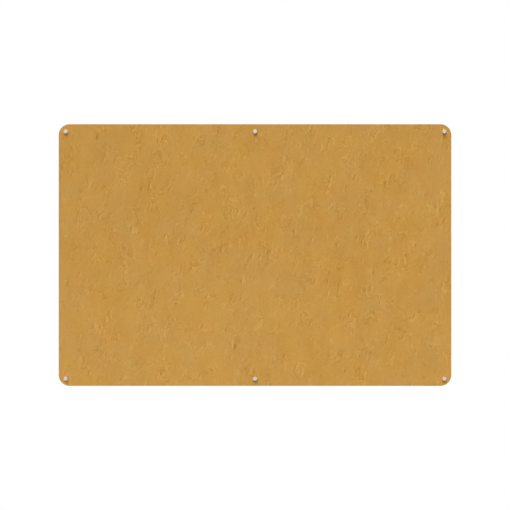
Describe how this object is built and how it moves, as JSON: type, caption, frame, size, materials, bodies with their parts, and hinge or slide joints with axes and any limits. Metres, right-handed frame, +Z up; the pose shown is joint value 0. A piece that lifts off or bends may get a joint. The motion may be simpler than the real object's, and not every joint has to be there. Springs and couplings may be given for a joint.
{
  "type": "pinboard",
  "caption": "Frameless felt-faced pinboard with rounded corners, screwed to a wall through its face behind round screw-on disc caps.",
  "frame": {"origin": "middle of the board's back face, on the wall's surface", "axes": "+Z up, +X to the right as seen from the front, +Y into the wall; the board's face looks along -Y"},
  "size_m": [1.8, 0.0566, 1.2],
  "materials": {
    "felt": "matte",
    "softboard": "matte",
    "hardboard": "matte",
    "cap_metal": "satin",
    "clear_pvc": "satin",
    "natural_nylon": "satin",
    "zinc_steel": "satin",
    "plug_nylon": "satin"
  },
  "bodies": {
    "panel": {"backing_sheet": "hardboard", "softboard_core": "softboard", "felt_facing": "felt", "flanged_bush_top_left": "natural_nylon", "wall_screw_top_left": "zinc_steel", "wall_plug_top_left": "plug_nylon", "flanged_bush_top_centre": "natural_nylon", "wall_screw_top_centre": "zinc_steel", "wall_plug_top_centre": "plug_nylon", "flanged_bush_top_right": "natural_nylon", "wall_screw_top_right": "zinc_steel", "wall_plug_top_right": "plug_nylon", "flanged_bush_bottom_left": "natural_nylon", "wall_screw_bottom_left": "zinc_steel", "wall_plug_bottom_left": "plug_nylon", "flanged_bush_bottom_centre": "natural_nylon", "wall_screw_bottom_centre": "zinc_steel", "wall_plug_bottom_centre": "plug_nylon", "flanged_bush_bottom_right": "natural_nylon", "wall_screw_bottom_right": "zinc_steel", "wall_plug_bottom_right": "plug_nylon"},
    "spacer_top_left": {"spacer_washer_top_left": "clear_pvc"},
    "cap_top_left": {"disc_cap_top_left": "cap_metal"},
    "spacer_top_centre": {"spacer_washer_top_centre": "clear_pvc"},
    "cap_top_centre": {"disc_cap_top_centre": "cap_metal"},
    "spacer_top_right": {"spacer_washer_top_right": "clear_pvc"},
    "cap_top_right": {"disc_cap_top_right": "cap_metal"},
    "spacer_bottom_left": {"spacer_washer_bottom_left": "clear_pvc"},
    "cap_bottom_left": {"disc_cap_bottom_left": "cap_metal"},
    "spacer_bottom_centre": {"spacer_washer_bottom_centre": "clear_pvc"},
    "cap_bottom_centre": {"disc_cap_bottom_centre": "cap_metal"},
    "spacer_bottom_right": {"spacer_washer_bottom_right": "clear_pvc"},
    "cap_bottom_right": {"disc_cap_bottom_right": "cap_metal"}
  },
  "joints": [
    {"name": "cap_travel_top_left", "type": "slide", "parent": "panel", "child": "spacer_top_left", "axis": [0, -1, 0], "range_m": [0, 0.0045]},
    {"name": "cap_turn_top_left", "type": "hinge", "parent": "spacer_top_left", "child": "cap_top_left", "pos_m": [-0.867, 0, 0.566], "axis": [0, -1, 0], "range_deg": [0, 3240]},
    {"name": "cap_travel_top_centre", "type": "slide", "parent": "panel", "child": "spacer_top_centre", "axis": [0, -1, 0], "range_m": [0, 0.0045]},
    {"name": "cap_turn_top_centre", "type": "hinge", "parent": "spacer_top_centre", "child": "cap_top_centre", "pos_m": [0, 0, 0.566], "axis": [0, -1, 0], "range_deg": [0, 3240]},
    {"name": "cap_travel_top_right", "type": "slide", "parent": "panel", "child": "spacer_top_right", "axis": [0, -1, 0], "range_m": [0, 0.0045]},
    {"name": "cap_turn_top_right", "type": "hinge", "parent": "spacer_top_right", "child": "cap_top_right", "pos_m": [0.867, 0, 0.566], "axis": [0, -1, 0], "range_deg": [0, 3240]},
    {"name": "cap_travel_bottom_left", "type": "slide", "parent": "panel", "child": "spacer_bottom_left", "axis": [0, -1, 0], "range_m": [0, 0.0045]},
    {"name": "cap_turn_bottom_left", "type": "hinge", "parent": "spacer_bottom_left", "child": "cap_bottom_left", "pos_m": [-0.867, 0, -0.566], "axis": [0, -1, 0], "range_deg": [0, 3240]},
    {"name": "cap_travel_bottom_centre", "type": "slide", "parent": "panel", "child": "spacer_bottom_centre", "axis": [0, -1, 0], "range_m": [0, 0.0045]},
    {"name": "cap_turn_bottom_centre", "type": "hinge", "parent": "spacer_bottom_centre", "child": "cap_bottom_centre", "pos_m": [0, 0, -0.566], "axis": [0, -1, 0], "range_deg": [0, 3240]},
    {"name": "cap_travel_bottom_right", "type": "slide", "parent": "panel", "child": "spacer_bottom_right", "axis": [0, -1, 0], "range_m": [0, 0.0045]},
    {"name": "cap_turn_bottom_right", "type": "hinge", "parent": "spacer_bottom_right", "child": "cap_bottom_right", "pos_m": [0.867, 0, -0.566], "axis": [0, -1, 0], "range_deg": [0, 3240]}
  ],
  "couplings": [
    {"joint": "cap_travel_top_left", "follows": "cap_turn_top_left", "m_per_rad": 0.000079577},
    {"joint": "cap_travel_top_centre", "follows": "cap_turn_top_centre", "m_per_rad": 0.000079577},
    {"joint": "cap_travel_top_right", "follows": "cap_turn_top_right", "m_per_rad": 0.000079577},
    {"joint": "cap_travel_bottom_left", "follows": "cap_turn_bottom_left", "m_per_rad": 0.000079577},
    {"joint": "cap_travel_bottom_centre", "follows": "cap_turn_bottom_centre", "m_per_rad": 0.000079577},
    {"joint": "cap_travel_bottom_right", "follows": "cap_turn_bottom_right", "m_per_rad": 0.000079577}
  ]
}
